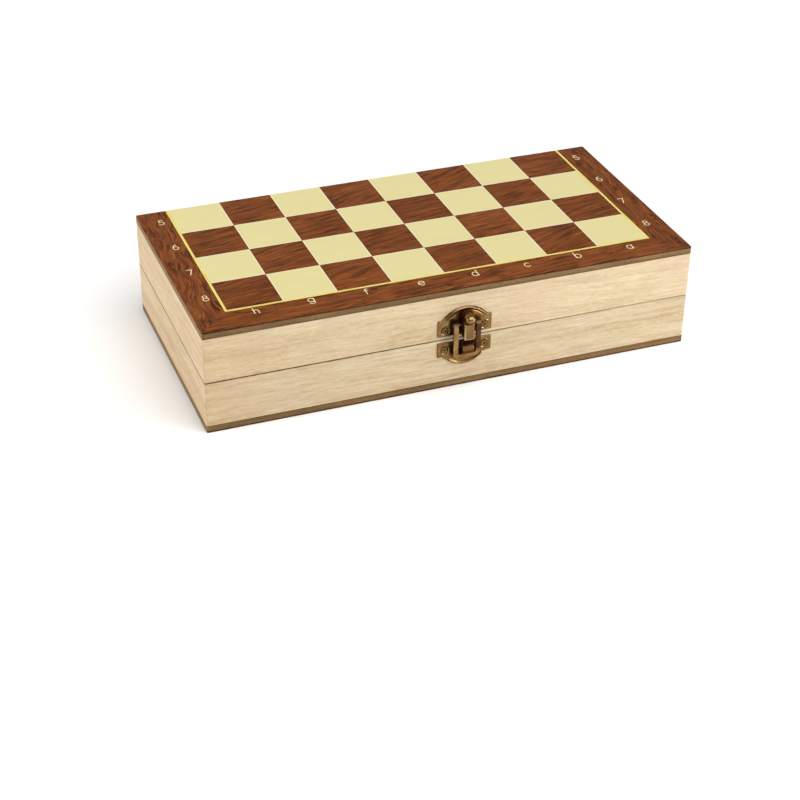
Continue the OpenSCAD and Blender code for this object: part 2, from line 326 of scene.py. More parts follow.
def box2(u, v, u0, u1, v0, v1, r=0.0):
    a = np.abs(u - (u0 + u1) / 2) - (u1 - u0) / 2 + r
    b = np.abs(v - (v0 + v1) / 2) - (v1 - v0) / 2 + r
    return np.minimum(np.maximum(a, b), 0) + np.hypot(np.maximum(a, 0), np.maximum(b, 0)) - r


def poly2(u, v, pts):
    d = np.full(np.broadcast(u, v).shape, 1e9)
    s = np.ones(d.shape)
    n = len(pts)
    for i in range(n):
        (ax, ay), (bx, by) = pts[i], pts[i - 1]
        ex, ey = bx - ax, by - ay
        wx, wy = u - ax, v - ay
        t = np.clip((wx * ex + wy * ey) / (ex * ex + ey * ey), 0, 1)
        d = np.minimum(d, (wx - ex * t) ** 2 + (wy - ey * t) ** 2)
        c1, c2, c3 = v >= ay, v < by, ex * wy > ey * wx
        s = np.where((c1 & c2 & c3) | (~c1 & ~c2 & ~c3), -s, s)
    return s * np.sqrt(d)


def line2(u, v, pts):
    """Distance to an open line of points."""
    d = np.full(np.broadcast(u, v).shape, 1e9)
    for (ax, ay), (bx, by) in zip(pts, pts[1:]):
        ex, ey = bx - ax, by - ay
        wx, wy = u - ax, v - ay
        t = np.clip((wx * ex + wy * ey) / max(ex * ex + ey * ey, 1e-12), 0, 1)
        d = np.minimum(d, np.hypot(wx - ex * t, wy - ey * t))
    return d


def ext(a, b, r):
    """Both at once, with the edge between them rounded by r."""
    a, b = a + r, b + r
    return np.minimum(np.maximum(a, b), 0) + np.hypot(np.maximum(a, 0), np.maximum(b, 0)) - r


def smin(a, b, k):
    h = np.maximum(k - np.abs(a - b), 0) / k
    return np.minimum(a, b) - h * h * k / 4


def smax(a, b, k):
    return -smin(-a, -b, k)


def nets(f, lo, hi, h):
    """Closed quad mesh of f = 0, with its points moved onto the surface. Returns points, quads, normals."""
    lo, hi = np.array(lo, float) - 1.5 * h, np.array(hi, float) + 1.5 * h
    n = np.ceil((hi - lo) / h).astype(int) + 1
    ax = [lo[i] + h * np.arange(n[i]) for i in range(3)]
    V = f(ax[0][:, None, None], ax[1][None, :, None], ax[2][None, None, :])
    V = np.broadcast_to(V, tuple(n))
    ins = V < 0
    count = np.zeros(tuple(n - 1), np.int8)
    for i in (0, 1):
        for j in (0, 1):
            for k in (0, 1):
                count += ins[i:n[0] - 1 + i, j:n[1] - 1 + j, k:n[2] - 1 + k]
    mixed = (count > 0) & (count < 8)
    idx = np.full(mixed.shape, -1, np.int64)
    idx[mixed] = np.arange(mixed.sum())
    cells = np.argwhere(mixed)
    P = np.zeros((len(cells), 3))
    cnt = np.zeros(len(cells))
    for a in range(3):
        b, c = (a + 1) % 3, (a + 2) % 3
        for u in (0, 1):
            for w in (0, 1):
                o0 = np.zeros(3, int)
                o0[b], o0[c] = u, w
                o1 = o0.copy()
                o1[a] = 1
                q0, q1 = cells + o0, cells + o1
                v0, v1 = V[q0[:, 0], q0[:, 1], q0[:, 2]], V[q1[:, 0], q1[:, 1], q1[:, 2]]
                cr = (v0 < 0) != (v1 < 0)
                t = v0[cr] / (v0[cr] - v1[cr])
                pt = q0[cr].astype(float)
                pt[:, a] += t
                P[cr] += pt
                cnt[cr] += 1
    P = lo + h * P / cnt[:, None]
    quads = []
    for a in range(3):
        b, c = (a + 1) % 3, (a + 2) % 3
        s0, s1 = [slice(None)] * 3, [slice(None)] * 3
        s0[a], s1[a] = slice(0, n[a] - 1), slice(1, n[a])
        for q in (b, c):
            s0[q] = s1[q] = slice(1, n[q] - 1)
        A, B = ins[tuple(s0)], ins[tuple(s1)]
        for mask, flip in ((A & ~B, False), (~A & B, True)):
            e = np.argwhere(mask)
            if not len(e):
                continue
            e[:, b] += 1
            e[:, c] += 1
            ring = []
            for du, dw in ((-1, -1), (0, -1), (0, 0), (-1, 0)):
                g = e.copy()
                g[:, b] += du
                g[:, c] += dw
                ring.append(idx[g[:, 0], g[:, 1], g[:, 2]])
            q = np.stack(ring, 1)
            quads.append(q[:, ::-1] if flip else q)
    Q = np.concatenate(quads)

    def grad(P, e=0.01):
        G = np.zeros_like(P)
        for a in range(3):
            d = np.zeros(3)
            d[a] = e
            G[:, a] = (f(*(P + d).T) - f(*(P - d).T)) / (2 * e)
        return G
    for _ in range(3):
        G = grad(P)
        g2 = np.maximum((G * G).sum(1), 0.05)
        step = -(f(*P.T) / g2)[:, None] * G
        length = np.linalg.norm(step, axis=1)
        step *= np.minimum(1, 0.35 * h / np.maximum(length, 1e-12))[:, None]
        P = P + step
    G = grad(P)
    G /= np.maximum(np.linalg.norm(G, axis=1), 1e-9)[:, None]
    return P, Q, G


def clasp_world(P):
    return np.stack([CLASP_X + P[:, 0], -W / 2 - P[:, 1], MID + P[:, 2]], 1) * MM


def mesh_from(name, P, Q, N=None, attrs=None):
    me = bpy.data.meshes.new(name)
    me.from_pydata(P.tolist(), [], Q.tolist())
    me.update()
    me.shade_smooth()
    if N is not None:
        me.normals_split_custom_set_from_vertices(N.tolist())
    for k, v in (attrs or {}).items():
        set_attr(me, k, v)
    return me


# ================================================================ materials

def pale_wood(name, axis):
    """Soft, light wood, sanded and lacquered: long straight grain, faint bands and smudges, painted shade in the joint
    between the trays and at the left end of the box.
    """
    g = Graph(name)
    p0 = g.place()
    s = g.attribute("seed")
    p = g.vec("ADD", p0, g.vec("SCALE", (37.0, 91.0, 53.0), scale=s))
    x, y, z = g.split(p)
    u, v, w = (x, y, z) if axis == "x" else (y, x, z)
    wave = g.sub(g.noise(g.xyz(g.mul(u, 1 / 70), g.mul(v, 1 / 18), g.mul(w, 1 / 18)), detail=2), 0.5)
    lift = g.mul(u, 0.010)
    v2 = g.add(v, g.mul(wave, 6.0))
    w2 = g.add(g.add(w, g.mul(wave, 5.0)), lift)
    bands = g.noise(g.xyz(g.mul(u, 1 / 120), g.mul(v2, 1 / 6.5), g.mul(w2, 1 / 6.5)), detail=2, rough=0.55)
    mid = g.noise(g.xyz(g.mul(u, 1 / 30), g.mul(v2, 1 / 1.6), g.mul(w2, 1 / 1.6)), detail=3, rough=0.6)
    fine = g.noise(g.xyz(g.mul(u, 1 / 9), g.mul(v2, 1 / 0.6), g.mul(w2, 1 / 0.6)), detail=2, rough=0.6)
    fibre = g.noise(g.xyz(g.mul(u, 1 / 3), g.mul(v, 1 / 0.16), g.mul(w, 1 / 0.16)), detail=1)
    mottle = g.noise(g.vec("MULTIPLY", p, (1 / 3.2, 1 / 1.3, 1 / 1.3) if axis == "x" else (1 / 1.3, 1 / 3.2, 1 / 1.3)), detail=3, rough=0.7)
    tone = g.add(g.add(g.add(g.mul(bands, 0.26), g.mul(mid, 0.25)), g.mul(fine, 0.26)), g.add(g.mul(fibre, 0.08), g.mul(mottle, 0.22)))
    colour = g.ramp(tone, [(0.40, lin(195, 165, 126)), (0.48, lin(215, 187, 149)), (0.56, lin(228, 203, 167)),
                           (0.66, lin(240, 220, 187))])
    # soft greyish smudges that run with the grain
    blot = g.noise(g.vec("MULTIPLY", p, (1 / 26, 1 / 7, 1 / 7) if axis == "x" else (1 / 7, 1 / 26, 1 / 7)), detail=3, rough=0.62)
    colour = g.mix(g.mul(g.map(blot, 0.52, 0.74), 0.40), colour, lin(197, 170, 132))
    pink = g.noise(g.vec("SCALE", p, scale=1 / 30), detail=1)
    colour = g.mix(g.mul(g.map(pink, 0.45, 0.70), 0.30), colour, lin(226, 196, 168))
    # a few darker growth lines
    dark = g.noise(g.xyz(g.mul(u, 1 / 80), g.mul(v2, 1 / 1.5), g.mul(w2, 1 / 1.5)), detail=1)
    colour = g.mix(g.mul(g.map(dark, 0.58, 0.72), 0.26), colour, lin(184, 152, 110))
    pore = g.noise(g.xyz(g.mul(u, 1 / 1.6), g.mul(v, 1 / 0.2), g.mul(w, 1 / 0.2)), detail=0)
    pores = g.map(pore, 0.76, 0.84)
    colour = g.mix(g.mul(pores, 0.16), colour, lin(150, 118, 82))
    dots = g.map(g.noise(g.vec("SCALE", p, scale=1 / 0.7), detail=0), 0.80, 0.86)
    colour = g.mix(g.mul(dots, 0.30), colour, lin(150, 122, 90))
    green = g.noise(g.vec("ADD", g.vec("MULTIPLY", p, (1 / 9, 1 / 4, 1 / 4) if axis == "x" else (1 / 4, 1 / 9, 1 / 4)), (7.0, 3.0, 9.0)), detail=2)
    colour = g.mix(g.mul(g.map(green, 0.55, 0.75), 0.20), colour, lin(208, 196, 150))
    # painted shade in the joint where the trays meet: a dark line along the outer rim, strongest at the left end and
    # weaker towards the right end
    px, py, pz = g.split(p0)
    side = g.math("ABSOLUTE", g.sub(pz, MID))
    ragged = g.mul(g.sub(g.noise(g.vec("SCALE", p0, scale=1 / 3.5), detail=2), 0.5), 0.30)
    outer = g.math("MAXIMUM", g.math("ABSOLUTE", px), g.add(g.math("ABSOLUTE", py), 60.0))
    at_rim = g.map(outer, 119.0, 119.4)
    joint_shade_fade = g.mul(at_rim, g.map(px, -40.0, 115.0, 0.95, 0.45))
    colour = g.mix(g.mul(g.map(g.add(side, ragged), 0.20, 0.50, 1.0, 0.0), joint_shade_fade), colour, lin(104, 78, 42))
    # painted shade: the left end of the box darker and warmer
    colour = g.mix(g.map(px, -122.0, -72.0, 0.75, 0.0), colour, g.vec("MULTIPLY", colour, (0.98, 0.91, 0.84)))
    # scaled by each rail's brightness factor from its mesh: painted light and shade
    colour = g.vec("SCALE", g.vec("MULTIPLY", colour, GAIN["pale"]), scale=g.attribute("level"))
    height = g.add(g.mul(fine, 0.5), g.add(g.mul(fibre, 0.5), g.mul(pores, -1.0)))
    rough = g.map(tone, 0.3, 0.7, 0.52, 0.60)
    return g.done(colour, rough, g.bump(height, 0.18, 0.00007), Specular_IOR_Level=0.25)


def rosewood(name, kind):
    """Dark red-brown veneer. kind: squares, x (border along X) or y (border along Y)."""
    g = Graph(name)
    p = g.place()
    s = g.attribute("seed")
    q = g.vec("ADD", p, g.vec("SCALE", (61.0, 43.0, 29.0), scale=s))
    x, y, z = g.split(q)
    if kind == "y":
        x, y = y, x
    lean = g.sub(g.noise(g.xyz(g.mul(s, 3.7), 0.0, 0.0), detail=0), 0.24)
    swirl = {"squares": 0.9, "x": 1.1, "y": 2.1}[kind]
    big = g.sub(g.noise(g.xyz(g.mul(x, 1 / 24), g.mul(y, 1 / 9), 0.0), detail=2), 0.5)
    small = g.sub(g.noise(g.xyz(g.mul(x, 1 / 9), g.mul(y, 1 / 2.6), 0.0), detail=2), 0.5)
    tilt = g.mul(x, g.mul(lean, 0.9 if kind == "squares" else 0.25))
    v = g.add(g.sub(y, tilt), g.add(g.mul(big, 5.0 * swirl), g.mul(small, 0.7)))
    broad = g.noise(g.xyz(g.mul(x, 1 / 40), g.mul(v, 1 / 5.0), 3.0), detail=2, rough=0.6)
    mid = g.noise(g.xyz(g.mul(x, 1 / 15), g.mul(v, 1 / 1.3), 7.0), detail=3, rough=0.62)
    fine = g.noise(g.xyz(g.mul(x, 1 / 7.0), g.mul(v, 1 / 0.5), 11.0), detail=2, rough=0.6)
    tone = g.add(g.add(g.mul(broad, 0.24), g.mul(mid, 0.42)), g.mul(fine, 0.34))
    colour = g.ramp(tone, [(0.36, lin(80, 40, 21)), (0.43, lin(106, 57, 31)), (0.50, lin(125, 71, 42)),
                           (0.57, lin(135, 79, 49)), (0.66, lin(146, 90, 58))])
    # redder patches
    red = g.noise(g.xyz(g.mul(x, 1 / 16), g.mul(v, 1 / 4), 17.0), detail=2)
    colour = g.mix(g.mul(g.map(red, 0.50, 0.72), 0.30), colour, lin(138, 71, 43))
    # dark streaks: short and thin, and a few broad soft ones
    streak = g.noise(g.xyz(g.mul(x, 1 / 19), g.mul(v, 1 / 0.66), 23.0), detail=2, rough=0.42)
    colour = g.mix(g.mul(g.map(streak, 0.51, 0.64), 0.88), colour, lin(60, 29, 16))
    shade = g.noise(g.xyz(g.mul(x, 1 / 20), g.mul(v, 1 / 3.2), 27.0), detail=1)
    colour = g.mix(g.mul(g.map(shade, 0.54, 0.72), 0.55), colour, lin(70, 35, 19))
    # wandering black veins
    vein = g.noise(g.xyz(g.mul(x, 1 / (26 if kind != "y" else 15)), g.mul(v, 1 / 5.5), 31.0), detail=3, rough=0.55)
    line = g.math("ABSOLUTE", g.sub(vein, 0.5))
    where = g.map(g.noise(g.xyz(g.mul(x, 1 / 15), g.mul(y, 1 / 7), 37.0), detail=1), 0.49, 0.62)
    veins = g.mul(g.map(line, 0.004, 0.026, 1.0, 0.0), where)
    colour = g.mix(g.mul(veins, 0.35 if kind == "squares" else 0.8), colour, lin(40, 18, 10))
    pore = g.map(g.noise(g.xyz(g.mul(x, 1 / 1.8), g.mul(v, 1 / 0.22), 41.0), detail=0), 0.70, 0.80)
    colour = g.mix(g.mul(pore, 0.4), colour, lin(50, 24, 13))
    level = g.map(g.noise(g.xyz(g.mul(s, 9.1), 5.0, 0.0), detail=0), 0.2, 0.8, 0.86, 1.14, smooth=False)
    colour = g.vec("SCALE", g.vec("MULTIPLY", colour, GAIN["rose_" + kind]), scale=level)
    # the cut edge of the veneer is darker than its face
    nx, ny, nz = g.facing()
    cut = g.map(g.math("ABSOLUTE", nz), 0.25, 0.6, 0.85, 0.0)
    colour = g.mix(cut, colour, lin(44, 20, 10))
    height = g.add(g.mul(fine, 0.4), g.mul(pore, -0.8))
    rough = g.map(tone, 0.3, 0.7, 0.50, 0.42)
    return g.done(colour, rough, g.bump(height, 0.12, 0.00005), Specular_IOR_Level=0.1)


def light_veneer(name):
    g = Graph(name)
    p = g.place()
    s = g.attribute("seed")
    q = g.vec("ADD", p, g.vec("SCALE", (61.0, 43.0, 29.0), scale=s))
    x, y, z = g.split(q)
    wave = g.sub(g.noise(g.xyz(g.mul(x, 1 / 28), g.mul(y, 1 / 9), 0.0), detail=2), 0.5)
    v = g.add(y, g.mul(wave, 3.0))
    broad = g.noise(g.xyz(g.mul(x, 1 / 60), g.mul(v, 1 / 5), 2.0), detail=2)
    fine = g.noise(g.xyz(g.mul(x, 1 / 22), g.mul(v, 1 / 0.6), 5.0), detail=3, rough=0.6)
    tone = g.add(g.mul(broad, 0.6), g.mul(fine, 0.4))
    colour = g.ramp(tone, [(0.30, lin(228, 217, 156)), (0.5, lin(230, 219, 159)), (0.72, lin(232, 221, 162))])
    fleck = g.map(g.noise(g.xyz(g.mul(x, 1 / 1.6), g.mul(v, 1 / 0.18), 9.0), detail=0), 0.76, 0.84)
    colour = g.mix(g.mul(fleck, 0.08), colour, lin(196, 176, 112))
    # the cut edge beside a dark square takes less stain
    px, py, pz = g.split(p)
    near = []
    for c, start, count in ((px, FX, 8), (py, FY, 4)):
        f = g.math("FRACT", g.mul(g.sub(c, start), 1 / SQ))
        inside = g.math("MINIMUM", g.sub(c, start), g.sub(start + count * SQ, c))
        near.append(g.add(g.mul(g.math("MINIMUM", f, g.sub(1.0, f)), SQ), g.map(inside, 1.0, 1.3, 5.0, 0.0)))
    edge = g.math("MINIMUM", near[0], near[1])
    colour = g.mix(g.map(edge, 0.36, 0.66, 1.0, 0.0), colour, lin(247, 234, 204))
    colour = g.vec("MULTIPLY", colour, GAIN["light"])
    return g.done(colour, g.map(fine, 0.3, 0.7, 0.46, 0.50), g.bump(g.add(fine, g.mul(fleck, -0.6)), 0.03, 0.00003),
                  Specular_IOR_Level=0.2)


def inlay(name):
    g = Graph(name)
    x, y, z = g.split(g.place())
    n = g.noise(g.xyz(g.mul(x, 1 / 14), g.mul(y, 1 / 14), 0.0), detail=3)
    f = g.noise(g.xyz(g.mul(x, 1 / 0.9), g.mul(y, 1 / 0.9), 4.0), detail=2)
    t = g.add(g.mul(n, 0.6), g.mul(f, 0.4))
    colour = g.ramp(t, [(0.3, lin(214, 194, 82)), (0.5, lin(226, 210, 112)), (0.72, lin(232, 220, 142))])
    colour = g.vec("MULTIPLY", colour, GAIN["inlay"])
    return g.done(colour, g.map(f, 0.3, 0.7, 0.44, 0.52), g.bump(f, 0.05, 0.00003), Specular_IOR_Level=0.2)


def lettering(name):
    g = Graph(name)
    x, y, z = g.split(g.place())
    n = g.noise(g.xyz(g.mul(x, 1 / 1.2), g.mul(y, 1 / 1.2), 0.0), detail=3)
    colour = g.ramp(n, [(0.3, lin(216, 198, 142)), (0.7, lin(238, 226, 178))])
    return g.done(colour, g.map(n, 0.3, 0.7, 0.44, 0.52), g.bump(n, 0.05, 0.00003), Specular_IOR_Level=0.2)


def fibreboard(name):
    """Grey-brown board seen on its sawn edge and, inside the trays, on its face."""
    g = Graph(name)
    p = g.place()
    x, y, z = g.split(p)
    nx, ny, nz = g.facing()
    a = g.noise(g.vec("MULTIPLY", p, (1 / 1.6, 1 / 1.6, 1 / 0.45)), detail=3, rough=0.65)
    b = g.noise(g.vec("MULTIPLY", p, (1 / 0.35, 1 / 0.35, 1 / 0.2)), detail=2)
    c = g.noise(g.vec("MULTIPLY", p, (1 / 17, 1 / 17, 1 / 3)), detail=2)
    t = g.add(g.add(g.mul(a, 0.42), g.mul(b, 0.28)), g.mul(c, 0.30))
    colour = g.ramp(t, [(0.32, lin(96, 73, 44)), (0.45, lin(122, 96, 62)), (0.55, lin(138, 110, 75)), (0.70, lin(160, 132, 97))])
    # darker skin where the board meets the veneer, and painted shade darkening the board towards the rail it meets
    skin = g.math("MINIMUM", g.math("ABSOLUTE", g.sub(z, VENEER)), g.math("ABSOLUTE", g.sub(z, H - VENEER)))
    colour = g.mix(g.map(skin, 0.05, 0.4, 0.5, 0.0), colour, lin(78, 58, 36))
    colour = g.mix(g.map(skin, 1.2, CORE, 0.0, 0.45), colour, lin(92, 68, 42))
    # painted light: the board's edge that faces left is lighter
    colour = g.vec("SCALE", colour, scale=g.map(nx, -0.9, -0.5, 1.70, 1.0))
    # painted light: lighter towards the right end
    colour = g.vec("SCALE", colour, scale=g.map(x, 20.0, 100.0, 1.0, 1.13))
    colour = g.vec("MULTIPLY", colour, GAIN["core"])
    return g.done(colour, g.map(a, 0.3, 0.7, 0.72, 0.86), g.bump(g.add(a, g.mul(b, 0.7)), 0.35, 0.00012), Specular_IOR_Level=0.2)


def bronze(name, high, olive, red, low, edge, rough=(0.17, 0.30), patina_and_shade=1.0):
    """Plated metal toned dark and then worn: dark in its hollows from toning, and dark on faces turned sideways or down
    as painted shade; bright on its edges.

    The mesh carries cav (how open, which near other parts is painted shade), rim (how near an edge, with painted
    highlights added) and lay (how far it faces outward and up).
    """
    g = Graph(name)
    p = g.place()
    cav = g.attribute("cav")
    rim = g.attribute("rim")
    lay = g.attribute("lay")
    blot = g.noise(g.vec("SCALE", p, scale=1 / 3.4), detail=4, rough=0.6)
    tint = g.noise(g.vec("ADD", g.vec("SCALE", p, scale=1 / 5.5), (13.0, 5.0, 2.0)), detail=3, rough=0.55)
    fine = g.noise(g.vec("SCALE", p, scale=1 / 0.5), detail=3, rough=0.65)
    speck = g.noise(g.vec("SCALE", p, scale=1 / 0.14), detail=2)
    # darker where less open: toning in the hollows, painted shade where other parts stand close
    k = g.add(cav, g.add(g.mul(g.sub(blot, 0.5), 0.45), g.mul(g.sub(fine, 0.5), 0.20)))
    hollow = g.map(k, 0.34, 0.92, 1.0, 0.0)
    # painted shade on faces turned sideways or down
    flank_shade = g.map(g.add(lay, g.mul(g.sub(blot, 0.5), 0.3)), 0.12, 0.66, 0.93, 0.0)
    dark = g.mul(g.math("MAXIMUM", hollow, flank_shade), patina_and_shade)
    colour = g.mix(g.map(tint, 0.50, 0.68), high, olive)
    colour = g.mix(g.mul(g.map(tint, 0.30, 0.47, 1.0, 0.0), 0.75), colour, red)
    colour = g.mix(g.mul(g.map(blot, 0.40, 0.66), 0.5), colour, dim(high, 0.60))
    colour = g.mix(dark, colour, low)
    # bright worn edges, with the painted highlights added to rim
    wear = g.map(g.add(rim, g.mul(g.sub(fine, 0.5), 0.35)), 0.20, 0.62)
    colour = g.mix(g.mul(wear, g.map(hollow, 0.0, 1.0, 0.95, 0.25)), colour, edge)
    r = g.add(g.map(blot, 0.3, 0.7, rough[0], rough[1]), g.mul(dark, 0.14))
    r = g.sub(r, g.mul(wear, 0.04))
    # the dark toning is a skin over the metal, and the painted shade lowers the metallic value the same way
    return g.done(colour, r, g.bump(g.add(fine, g.mul(speck, 0.4)), 0.08, 0.00005),
                  metallic=g.map(dark, 0.35, 1.0, 1.0, 0.68), Specular_Tint=(0.50, 0.37, 0.26, 1))


def plated(name, colour, rough=0.3):
    g = Graph(name)
    p = g.place()
    blot = g.noise(g.vec("SCALE", p, scale=1 / 3.0), detail=4, rough=0.6)
    brush = g.noise(g.vec("MULTIPLY", p, (1 / 3.0, 1 / 0.2, 1 / 0.2)), detail=2)
    c = g.mix(g.map(blot, 0.35, 0.68), colour, dim(colour, 0.62))
    return g.done(c, g.add(g.map(brush, 0.3, 0.7, rough - 0.05, rough + 0.12), g.mul(blot, 0.05)),
                  g.bump(brush, 0.08, 0.00004), metallic=1.0)


GAIN = {"pale": (0.757, 0.776, 0.77), "rose_squares": (1.02, 0.93, 0.49), "rose_x": (1.12, 1.00, 0.53),
        "rose_y": (1.06, 0.975, 0.565), "light": (0.89, 0.883, 0.87), "inlay": (1.0, 1.0, 1.06), "core": (0.72, 0.69, 0.62)}
M_WOOD_X = pale_wood("pale_wood_x", "x")
M_WOOD_Y = pale_wood("pale_wood_y", "y")
M_CORE = fibreboard("panel_core")
M_DARK = rosewood("dark_veneer", "squares")
M_BORDER_X = rosewood("border_veneer_x", "x")
M_BORDER_Y = rosewood("border_veneer_y", "y")
M_LIGHT = light_veneer("light_veneer")
M_INLAY = inlay("inlay")
M_LETTER = lettering("lettering")
M_BRONZE = bronze("antique_bronze", (0.235, 0.128, 0.048), (0.28, 0.200, 0.074), (0.185, 0.062, 0.025), (0.056, 0.0145, 0.0042),
                  (0.86, 0.76, 0.50))
# painted light: a brighter copy of the bronze, used on the loop
M_BRONZE_LIT = bronze("lit_bronze", (0.31, 0.185, 0.076), (0.40, 0.295, 0.118), (0.23, 0.080, 0.032), (0.060, 0.016, 0.005),
                        (0.92, 0.82, 0.56))
M_BRONZE_DARK = bronze("dark_bronze", (0.20, 0.108, 0.043), (0.25, 0.170, 0.064), (0.15, 0.049, 0.021), (0.060, 0.017, 0.005),
                       (0.80, 0.68, 0.44))
M_HINGE = plated("hinge_brass", (0.62, 0.46, 0.20))
M_PIN = plated("steel_pin", (0.50, 0.48, 0.45))


# ================================================================ the trays

def square_seeds(half):
    def f(co):
        i = np.floor((co[:, 0] - FX) / SQ)
        j = np.floor((co[:, 1] - FY) / SQ)
        return (i * 7.31 + j * 13.17 + half * 5.77) % 23.0
    return f


# painted light and shade per rail, in the order front, back, left, right: the lower tray's front, back and right rails
# darker, the left rails lighter
RAIL_LIGHT_AND_SHADE = {"lower": (0.91, 0.95, 1.06, 0.97), "upper": (1.0, 1.0, 1.09, 1.0)}
for half, tray in enumerate(("lower", "upper")):
    softened(f"{tray}_board_core_v", f"{tray}_board_core", 0.22, M_CORE, seed=half)
    for k, (side, mat) in enumerate((("front", M_WOOD_X), ("back", M_WOOD_X), ("left", M_WOOD_Y), ("right", M_WOOD_Y))):
        softened(f"{tray}_{side}_rail_v", f"{tray}_{side}_rail", 0.16, mat, seed=1.7 * k + 11.3 * half + 0.4,
                 level=RAIL_LIGHT_AND_SHADE[tray][k])
    for k, side in enumerate(("front", "left", "right")):
        softened(f"{tray}_border_{side}_v", f"{tray}_border_{side}", 0.07, M_BORDER_X if side == "front" else M_BORDER_Y,
                 drop=True, seed=3.1 * k + 7.9 * half + 0.7)
    softened(f"{tray}_inlay_line_v", f"{tray}_inlay_line", 0.04, M_INLAY, drop=True)
    softened(f"{tray}_dark_squares_v", f"{tray}_dark_squares", 0.02, M_DARK, drop=True, seeds=square_seeds(half))
    softened(f"{tray}_light_squares_v", f"{tray}_light_squares", 0.02, M_LIGHT, drop=True, seeds=square_seeds(half))


# ---------------------------------------------------------------- file letters and rank numbers

def arc(cx, cy, rx, ry, a0, a1, n=20):
    t = np.radians(np.linspace(a0, a1, n))
    return [(cx + rx * math.cos(v), cy + ry * math.sin(v)) for v in t]


RING = arc(1.6, 1.9, 1.6, 1.9, 0, 360, 33)
STROKES = {
    "a": [RING, [(3.2, 3.8), (3.2, 0)]],
    "b": [RING, [(0, 5.7), (0, 0)]],
    "c": [arc(1.7, 1.9, 1.7, 1.9, 48, 312, 28)],
    "d": [RING, [(3.2, 5.7), (3.2, 0)]],
    "e": [[(0.05, 2.0), (3.25, 2.0)] + arc(1.65, 1.9, 1.65, 1.9, 3, 310, 28)],
    "f": [[(1.0, 0), (1.0, 4.5)] + arc(2.1, 4.5, 1.1, 1.1, 180, 75, 9), [(0, 3.7), (2.3, 3.7)]],
    "g": [RING, [(3.2, 3.8), (3.2, -0.5)] + arc(1.65, -0.5, 1.55, 1.2, 0, -155, 14)],
    "h": [[(0, 5.7), (0, 0)], [(0, 2.2)] + arc(1.25, 2.4, 1.25, 1.3, 180, 0, 16) + [(2.5, 0)]],
    "1": [[(0.2, 4.1), (1.5, 5.2), (1.5, 0)]],
    "2": [arc(1.45, 3.75, 1.45, 1.45, 170, -38, 16) + [(0, 0), (3.0, 0)]],
    "3": [arc(1.4, 3.9, 1.3, 1.3, 150, -90, 16) + arc(1.4, 1.35, 1.5, 1.25, 90, -150, 16)],
    "4": [[(2.3, 0), (2.3, 5.2), (0, 1.6), (3.2, 1.6)]],
    "5": [[(2.8, 5.2), (0.6, 5.2), (0.35, 2.9)] + arc(1.45, 1.7, 1.5, 1.7, 118, -150, 18)],
    "6": [arc(1.5, 1.65, 1.5, 1.65, 0, 360, 29), [(0.0, 1.65), (0.12, 2.9), (0.6, 4.1), (1.35, 4.9), (2.3, 5.2)]],
    "7": [[(0, 5.2), (3.0, 5.2), (1.1, 0)]],
    "8": [arc(1.5, 3.95, 1.2, 1.25, 0, 360, 25), arc(1.5, 1.4, 1.5, 1.4, 0, 360, 29)],
}
PEN = 0.25
WIDE, TALL = 0.85, 0.92
SHORT = {"h": 0.80, "g": 0.86, "f": 0.86}
RAISED = {"h": 0.85, "g": 2.3, "f": 0.65}
MADE = {}


def glyph(char):
    """Points (z from 0 down) and faces of a character drawn with a round pen, in millimetres."""
    if char not in MADE:
        strokes = [[(u * WIDE, v * SHORT.get(char, TALL)) for u, v in st] for st in STROKES[char]]
        pts = np.array([p for st in strokes for p in st])
        lo, hi = pts.min(0) - PEN, pts.max(0) + PEN

        def f(x, y, z):
            d = np.full(np.broadcast(x, y, z).shape, 1e9)
            for st in strokes:
                d = np.minimum(d, line2(x, y, st))
            return ext(d - PEN, np.abs(z + 0.2) - 0.2 + 0 * d, 0.04)
        P, Q, _ = nets(f, (*lo, -0.4), (*hi, 0.0), 0.13)
        P[:, 2] *= 0.2
        P[:, 0] -= (lo[0] + hi[0]) / 2
        MADE[char] = P, Q
    return MADE[char]


def lettering_piece(name, body, items, under):
    V, F, n = [], [], 0
    for char, x, y in items:
        P, Q = glyph(char)
        low = (1.9 if char in "abcdefgh" else 2.6) * TALL - RAISED.get(char, 0.0)
        m = -1 if under else 1
        V.append(np.stack([x + m * P[:, 0], y - low + P[:, 1], -P[:, 2] if under else H + P[:, 2]], 1))
        F.append(Q + n)
        n += len(P)
    return link(name, mesh_from(name, np.concatenate(V) * MM, np.concatenate(F)), mats=[M_LETTER], body=body)


files = [-92.0, -66.0, -40.0, -13.6, 12.8, 39.0, 65.2, 92.2]
ranks = [-30.5, -4.8, 21.4, 48.4]
upper_items = [(c, x, -50.1) for c, x in zip("hgfedcba", files)]
upper_items += [(c, x, y) for x in (-110.2, 110.8) for c, y in zip("8765", ranks)]
lower_items = [(c, x, -50.1) for c, x in zip("hgfedcba", files)]
lower_items += [(c, x, y) for x in (-110.8, 110.8) for c, y in zip("1234", ranks)]
lettering_piece("upper_notation", "lid", upper_items, False)
lettering_piece("lower_notation", "base", lower_items, True)


# ================================================================ the clasp

SCREW_X, SCREW_UP, SCREW_LOW = 9.85, 5.0, -5.2


